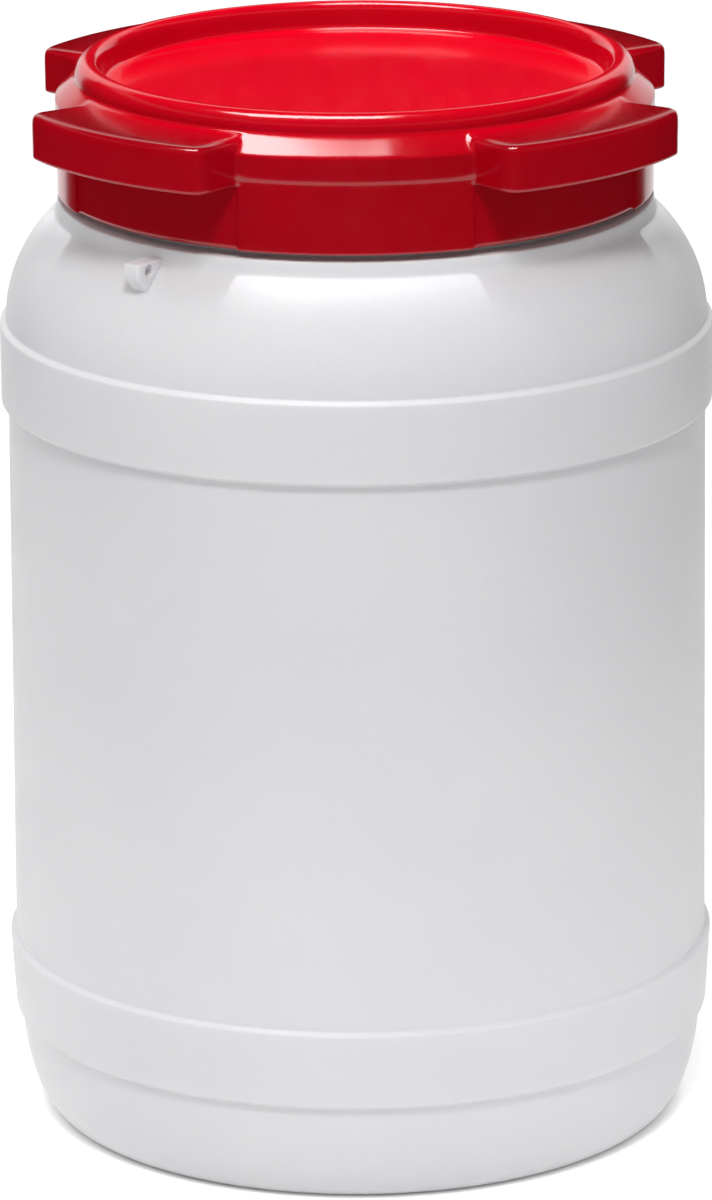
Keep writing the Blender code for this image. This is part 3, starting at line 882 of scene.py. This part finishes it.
    def add_supports(self, piece: Piece) -> None:
        """Cuts the extra columns through the cage and sets their points on the rows' circles."""
        spacing = FULL_TURN / self.columns
        for turn in (math.radians(angle) for angle in self.supports() if angle < FULL_TURN / 2):
            bpy.ops.mesh.select_all(action="SELECT")
            bpy.ops.mesh.bisect(plane_co=ORIGIN, plane_no=(-math.sin(turn), math.cos(turn), 0.0))
        for angle in self.supports():
            off_middle = math.radians(angle % spacing - spacing / 2)
            Bench.widen_column(piece, angle, math.cos(off_middle) / math.cos(math.radians(spacing / 2)))

    def true_columns(self, piece: Piece) -> None:
        """Moves every column out by what smoothing takes away, so that the smoothed rings keep their radii.

        Smoothing puts a point at four sixths of itself and a sixth of each neighbour.
        """
        spacing = FULL_TURN / self.columns
        angles = sorted([spacing * index for index in range(self.columns)] + self.supports())
        scales = [1.0] * len(angles)
        for _ in range(self.true_passes):
            for index, angle in enumerate(angles):
                beside = (index - 1, (index + 1) % len(angles))
                pull = sum(scales[other] * math.cos(math.radians(angles[other] - angle)) for other in beside)
                scales[index] = (6.0 - pull) / 4.0
        for angle, scale in zip(angles, scales):
            Bench.widen_column(piece, angle, scale)

    @staticmethod
    def matched(rows: Sequence[Point], targets: Sequence[Point]) -> Callable[[float, float], Point]:
        """Returns a function that sends a point to the target of the row nearest to it.

        Args:
            rows: Places of the rows.
            targets: New place of each row, in the same order.
        """
        return lambda radius, height: min(
            zip(rows, targets), key=lambda pair: math.dist((radius, height), pair[0]))[1]

    def pull_lugs(self, piece: Piece) -> None:
        """Extrudes the roof's edge and the upper wall between the pads into lugs."""
        Bench.pick(piece, Kind.FACE, self.lug_faces(self.upper_rows()[1][0], self.lug_low, self.roof))
        bpy.ops.mesh.extrude_region()
        Bench.reshape(piece, lambda vert: vert.select, self.matched(self.upper_rows(), self.lug_rows()))

    def set_back_skirt(self, piece: Piece) -> None:
        """Pushes the lower wall under each lug back to the skirt's own radius."""
        def left_over(edge: Edge) -> bool:
            """Says whether an edge is left within a lug's stretch where the wall began to go back."""
            return self.in_lug((edge.verts[0].co + edge.verts[1].co) / 2) and all(
                abs(vert.co.z - self.lug_low) < NEAR and abs(vert.co.xy.length - self.pad_radius) < NEAR * 3
                for vert in edge.verts)

        Bench.pick(piece, Kind.FACE, self.lug_faces(self.skirt_radius - self.lip_reach, 0.0, self.lug_low - NEAR))
        bpy.ops.mesh.extrude_region()
        Bench.reshape(piece, lambda vert: vert.select, lambda radius, height: (self.skirt_radius, height))
        Bench.heal()
        Bench.pick(piece, Kind.EDGE, left_over)
        bpy.ops.mesh.dissolve_edges(use_verts=True)

    def round_ends(self, piece: Piece) -> None:
        """Cuts the lugs' end faces twice from top to bottom, for a crisp corner at the pad and a soft one outside."""
        inner, outer = self.upper_rows()[2:], self.lug_rows()[2:]

        def crosses(edge: Edge) -> bool:
            """Says whether an edge joins a row of the pad to the same row of the lug."""
            near, far = sorted(section(vert.co) for vert in edge.verts)
            return all(self.on_end(vert.co) for vert in edge.verts) and any(
                math.dist(near, low) < self.row_reach and math.dist(far, high) < self.row_reach
                for low, high in zip(inner, outer))

        Bench.pick(piece, Kind.EDGE, crosses)
        bpy.ops.mesh.subdivide(number_cuts=2)
        cuts = [tuple(Vector(low).lerp(Vector(high), share))
                for share in (1 / 3, 2 / 3) for low, high in zip(inner, outer)]
        Bench.reshape(piece, self.on_rows(cuts), self.matched(cuts, self.end_rows()))
        Bench.reshape(piece, self.on_rows(inner[:4]),
                      lambda radius, height: (radius + self.root_flare, height + self.root_flare / 2))

    def hollow_lugs(self, piece: Piece) -> None:
        """Opens each lug from below, leaving its walls and roof."""
        Bench.pick(piece, Kind.FACE, self.lug_faces(self.skirt_radius, self.lug_low - NEAR, self.lug_low + NEAR))
        for thickness in self.lip_insets:
            bpy.ops.mesh.inset(thickness=thickness, depth=0.0, use_even_offset=True)
        for rise in (self.lip_rise, self.lug_top - self.lug_wall - self.lug_low - self.lip_rise):
            Bench.extrude((0.0, 0.0, rise))

    def tighten_pads(self, piece: Piece) -> None:
        """Insets the end faces of the pads, so that their edges keep small roundings."""
        def pad_end(face: Face) -> bool:
            """Says whether a face is the step from a pad to the skirt beside it."""
            radius, height = section(face.calc_center_median())
            return (all(self.on_end(vert.co) for vert in face.verts) and height < self.lug_low - NEAR
                    and self.skirt_radius - NEAR < radius < self.pad_radius)

        Bench.pick(piece, Kind.FACE, pad_end)
        bpy.ops.mesh.inset(thickness=self.pad_inset, depth=0.0, use_even_offset=True)

    def flared(self, radius: float) -> float:
        """Returns the share of a lug's span that is left at a radius, because its ends stand nearly side by side."""
        half = self.lug_span / 2
        offset = self.edge_radius * math.sin(math.radians(half - self.lug_draft))
        end = self.lug_draft + math.degrees(math.asin(min(1.0, offset / max(radius, self.edge_radius))))
        return end / half

    def straighten_ends(self, piece: Piece) -> None:
        """Turns the lugs' points towards each lug's middle, the farther out the more, so the ends aren't radial."""
        radii_a_metre, steps_a_degree = 20000, 20

        def stand(vert: Vert) -> tuple[int, int] | None:
            """Returns a lug point's radius and angle from the lug's middle in whole steps, or None elsewhere."""
            radius, angle = vert.co.xy.length, self.off_middle(vert.co)
            if radius > self.edge_radius + NEAR * 4 and abs(angle) > SAME_ANGLE:
                return round(radius * radii_a_metre), round(angle * steps_a_degree)
            return None

        for (radius, angle), members in Bench.groups(piece, stand).items():
            Bench.points(piece, members)
            Bench.turn(math.radians(angle / steps_a_degree * (1.0 - self.flared(radius / radii_a_metre))))

    def shell(self) -> Piece:
        """Returns the lid's smooth shell."""
        piece = Bench.draw("lid_shell", (*self.dish_rows(), *self.ring_rows(), *self.upper_rows(), *self.lower_rows(),
                                         *self.inner_rows()))
        Bench.spin(self.columns)
        for step in (self.add_supports, self.pull_lugs, self.set_back_skirt, self.round_ends, self.hollow_lugs,
                     self.tighten_pads):
            step(piece)
        Bench.heal()
        self.true_columns(piece)
        self.straighten_ends(piece)
        Bench.apply(piece, "SUBSURF", levels=2, render_levels=2)
        bpy.ops.object.shade_smooth()
        return piece

    def build(self) -> None:
        """Builds the lid's pieces, dressed and riding on the lid."""
        shell = self.shell()
        ridge = ScrewRidge("lid_thread", self.skirt_bore + self.thread_root, self.skirt_bore - self.thread_depth,
                           self.thread_low)
        dress([shell, ridge.build()], RED_PLASTIC, Body.LID, Slot.RED)
        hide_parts("screw_lid")


@dataclass
class LidGasket:
    """Flat sealing ring with rounded edges and a shallow groove round its underside."""

    columns: int = 192
    bore: float = 0.1088
    radius: float = 0.1134
    low: float = 0.4324
    high: float = 0.4348
    edge_round: float = 0.0005
    groove: float = 0.0002
    groove_half: float = 0.0009
    groove_floor_half: float = 0.0006

    def build(self) -> None:
        """Builds the gasket, dressed and riding on the seal's body."""
        across, up = (self.bore + self.radius) / 2, (self.low + self.high) / 2
        groove = ((-self.groove_half, 0.0), (-self.groove_floor_half, self.groove),
                  (self.groove_floor_half, self.groove), (self.groove_half, 0.0))
        corners = [
            Corner(self.bore, up), Corner(self.bore, self.low, self.edge_round),
            *(Corner(across + aside, self.low + rise, self.groove) for aside, rise in groove),
            Corner(self.radius, self.low, self.edge_round), Corner(self.radius, self.high, self.edge_round),
            Corner(self.bore, self.high, self.edge_round), Corner(self.bore, up),
        ]
        piece = Bench.draw("gasket_ring", rounded(corners, 22.0)[:-1], closed=True)
        Bench.spin(self.columns)
        Bench.smooth(piece, 50.0)
        dress([piece], SEAL_RUBBER, Body.SEAL, Slot.RUBBER)
        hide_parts("lid_gasket")


def hold(name: str, data: bpy.types.ID, place: Place, turn: Matrix) -> Piece:
    """Puts a light or camera into the scene.

    Args:
        name: Name of its object.
        data: The light or camera.
        place: Where it is.
        turn: How it is turned.

    Returns:
        Its object.
    """
    holder = bpy.data.objects.new(name, data)
    bpy.context.scene.collection.objects.link(holder)
    holder.matrix_world = Matrix.Translation(place) @ turn
    return holder


@dataclass(frozen=True)
class Softbox:
    """Rectangular lamp that lights the drum and is neither seen nor mirrored; a grid over its face may narrow it."""

    name: str
    place: Place
    aim: Place
    power: float
    size: Point = (1.0, 1.0)
    spread: float = 180.0

    def light(self) -> bpy.types.Light:
        """Returns the lamp's light, without its power."""
        light = bpy.data.lights.new(self.name, "AREA")
        light.shape = "RECTANGLE"
        light.size, light.size_y = self.size
        light.spread = math.radians(self.spread)
        return light

    def hang(self) -> None:
        """Hangs the lamp in its place and aims it."""
        light = self.light()
        light.energy = self.power
        back = (Vector(self.place) - Vector(self.aim)).normalized()
        side = (Vector((1.0, 0.0, 0.0)) - back * back.x).normalized()
        turn = Matrix((side, back.cross(side), back)).transposed()
        holder = hold(self.name, light, self.place, turn.to_4x4())
        holder.visible_camera = holder.visible_glossy = False


@dataclass(frozen=True)
class Spot(Softbox):
    """Soft-edged spot with a narrow cone, in place of a softbox."""

    cone: float = 2.46
    softness: float = 0.12
    radius: float = 0.02

    def light(self) -> bpy.types.Light:
        """Returns the spot's light, without its power."""
        light = bpy.data.lights.new(self.name, "SPOT")
        light.spot_size = math.radians(self.cone)
        light.spot_blend = self.softness
        light.shadow_soft_size = self.radius
        return light


@dataclass
class Cards:
    """Cards that only reflections see, as a photographer uses to shape what gloss mirrors.

    A bright panel that glows for reflections alone and lights nothing paints the highlight streak on the lid's slope.
    Dark flags with soft edges keep glare off the rest.
    """

    glare: float = 18.0
    glare_place: Place = (-0.32, -0.14, 1.95)
    glare_size: Point = (1.07, 0.56)
    back_distance: float = 2.4
    back_half: float = 0.60
    back_height: float = 1.60
    back_fades: Point = (0.22, 0.40)
    low_radius: float = 1.2
    low_height: float = 1.45
    low_reach: float = 0.99
    low_fades: Point = (0.06, 0.45)
    ceiling_height: float = 2.7
    ceiling_radius: float = 3.6
    ceiling_fade: float = 0.6

    def stand(self, card: Piece, clear: Callable[[NodeBoard], Socket] | None = None) -> None:
        """Dresses a card, bright or dark, and leaves it to be seen by reflections alone.

        Args:
            card: The card's mesh in its place.
            clear: Gives how clear a dark flag is, from 0 to 1 past its soft edges; the bright panel has none.
        """
        Bench.clear()
        material, board = new_material(card.name)
        if clear:
            dark = board.add("BsdfDiffuse", values={"Color": (0.01, 0.01, 0.01, 1.0)})
            through = board.add("BsdfTransparent")
            board.finish(board.add("MixShader", {0: clear(board), 1: dark.outputs[0], 2: through.outputs[0]}))
        else:
            # Painted highlight: the panel glows for reflections but is no lamp and lights nothing.
            board.finish(board.add("Emission", values={"Strength": self.glare}))
        card.data.materials.append(material)
        card.visible_camera = card.visible_diffuse = card.visible_shadow = card.visible_transmission = False

    def glare_panel(self) -> None:
        """Hangs the bright panel over the left front; its streak on the lid's slope is a painted highlight."""
        panel = Bench.grid("glare_panel", 2, *self.glare_size)
        bpy.ops.transform.translate(value=self.glare_place)
        self.stand(panel)

    def back_flag(self) -> None:
        """Stands the upright flag behind the drum, which the flat top of the lid mirrors."""
        card = Bench.grid("back_flag", 4, self.back_half * 2, self.back_height)
        Bench.clear()
        card.data.transform(Matrix.Translation((0.0, self.back_distance, self.back_height / 2))
                            @ Matrix.Rotation(math.pi / 2, 4, "X"))
        self.stand(card, lambda board: board.maths(
            "MAXIMUM", board.fade(board.maths("ABSOLUTE", board.along("X")), self.back_half, self.back_fades[0]),
            board.fade(board.along("Z"), self.back_height, self.back_fades[1])))

    def low_flag(self) -> None:
        """Stands the low curved flag, open at the back, which the lid's upright walls mirror."""
        card = Bench.draw("low_flag", [(self.low_radius, 0.0), (self.low_radius, self.low_height)])
        span = math.pi + 2 * math.asin(self.low_reach / self.low_radius)
        Bench.turn((math.pi - span) / 2)
        Bench.spin(64, span)
        self.stand(card, lambda board: board.maths(
            "MAXIMUM", board.fade(board.along("Y"), self.low_reach, self.low_fades[0]),
            board.fade(board.along("Z"), self.low_height, self.low_fades[1])))

    def ceiling_flag(self) -> None:
        """Hangs the round dark ceiling above the lamps."""
        radii = (0.0, self.ceiling_radius / 2, self.ceiling_radius)
        disc = Bench.draw("ceiling_flag", [(radius, self.ceiling_height) for radius in radii])
        Bench.spin(64)
        self.stand(disc, lambda board: board.fade(board.out(), self.ceiling_radius, self.ceiling_fade))

    def build(self) -> None:
        """Stands all the cards."""
        self.glare_panel()
        self.back_flag()
        self.low_flag()
        self.ceiling_flag()


@dataclass
class Studio:
    """White sweep, soft lamps, cards and the camera at the photograph's viewing angle."""

    floor_size: float = 16.0
    floor_colour: Colour = (0.86, 0.86, 0.86)
    speckle: float = 0.985
    floor_lift: float = 0.60
    lift_span: Point = (0.127, 0.137)
    sky: float = 0.37
    camera_place: Place = (0.0, -2.8640, 1.0620)
    camera_pitch: float = 16.48
    camera_roll: float = -0.40
    camera_yaw: float = 0.02
    lens: float = 215.6

    def lay_floor(self) -> None:
        """Lays a wide pale floor that keeps the drum's shadow and looks white to the camera."""
        floor = Bench.grid("studio_floor", 8, self.floor_size, self.floor_size)
        Bench.clear()
        material, board = new_material("studio_floor")
        darker = tuple(share * self.speckle for share in self.floor_colour)
        paper = board.add("BsdfDiffuse", {"Color": board.blend(Pattern(400.0, 2.0), self.floor_colour, darker)})
        # The glow fades out over a narrow ring at the drum's foot, so the floor there stays at its lit level: the dark
        # line at the foot is partly the real contact shadow and partly painted shade, for want of the glow.
        away = board.spread(board.out(), 0.0, self.floor_lift, self.lift_span)
        glow = board.add("Emission", {"Strength": board.maths("MULTIPLY", board.seen(), away)})
        board.finish(board.add("AddShader", {0: paper.outputs[0], 1: glow.outputs[0]}))
        floor.data.materials.append(material)

    def light_world(self) -> None:
        """Makes the surroundings white to the eye and a plain level of soft light to the drum."""
        world = bpy.data.worlds.new("studio")
        bpy.context.scene.world = world
        world.use_nodes = True
        board = NodeBoard(world.node_tree)
        strength = board.spread(board.seen(), self.sky, 1.0, (0.0, 1.0))
        board.finish(board.add("Background", {"Strength": strength}, {"Color": (1.0, 1.0, 1.0, 1.0)}), "OutputWorld")

    def hang_lamps(self) -> None:
        """Hangs the overhead softbox, the lid's spot and the fills."""
        for lamp in (
            Softbox("overhead_softbox", (-0.32, -0.14, 1.95), (-0.32, -0.14, 0.0), 5.0, (1.07, 0.56)),
            Spot("lid_spot", (0.0, 0.0, 6.0), ORIGIN, 2200.0),
            Softbox("front_top", (0.0, -1.45, 2.25), (0.0, -0.05, 0.38), 25.0, (0.5, 0.4)),
            Softbox("front_fill", (0.0, -2.9, 0.5), (0.0, 0.0, 0.22), 2.0, (0.8, 0.8)),
            Softbox("low_fill", (0.0, -2.2, 0.12), (0.0, 0.0, 0.08), 1.6, (0.8, 0.2)),
            Softbox("left_top", (-1.25, -1.1, 2.25), (0.0, -0.05, 0.38), 4.5, (0.6, 0.5)),
            Softbox("left_foot", (-0.60, -0.40, 0.03), (-0.12, -0.06, 0.03), 0.03, (0.4, 0.05), 50.0),
            Softbox("right_foot", (0.60, -0.40, 0.03), (0.12, -0.06, 0.03), 0.07, (0.4, 0.05), 50.0),
            Softbox("left_kicker", (-2.2, 1.6, 1.0), (0.0, 0.0, 0.22), 13.0, (1.2, 1.2)),
        ):
            lamp.hang()

    def set_camera(self) -> None:
        """Sets the camera that the photograph's frame was fitted to."""
        camera = bpy.data.cameras.new("photo_camera")
        camera.sensor_width = 36.0
        camera.lens = self.lens
        camera.clip_start, camera.clip_end = 0.05, 60.0
        turns = ((self.camera_yaw, "Z"), (90.0 - self.camera_pitch, "X"), (self.camera_roll, "Z"))
        yaw, pitch, roll = (Matrix.Rotation(math.radians(angle), 4, axis) for angle, axis in turns)
        bpy.context.scene.camera = hold("photo_camera", camera, self.camera_place, yaw @ pitch @ roll)

    def build(self) -> None:
        """Builds the whole studio."""
        self.lay_floor()
        self.light_world()
        self.hang_lamps()
        Cards().build()
        self.set_camera()
        bpy.context.scene.view_settings.view_transform = "Standard"


def main() -> None:
    """Builds the studio, and the drum's pieces in it."""
    logging.basicConfig(level=logging.INFO, format="%(name)s: %(message)s")
    for assembly in (Studio(), DrumBody(), LidGasket(), ScrewLid()):
        assembly.build()
    Bench.clear()


if __name__ == "__main__":
    main()
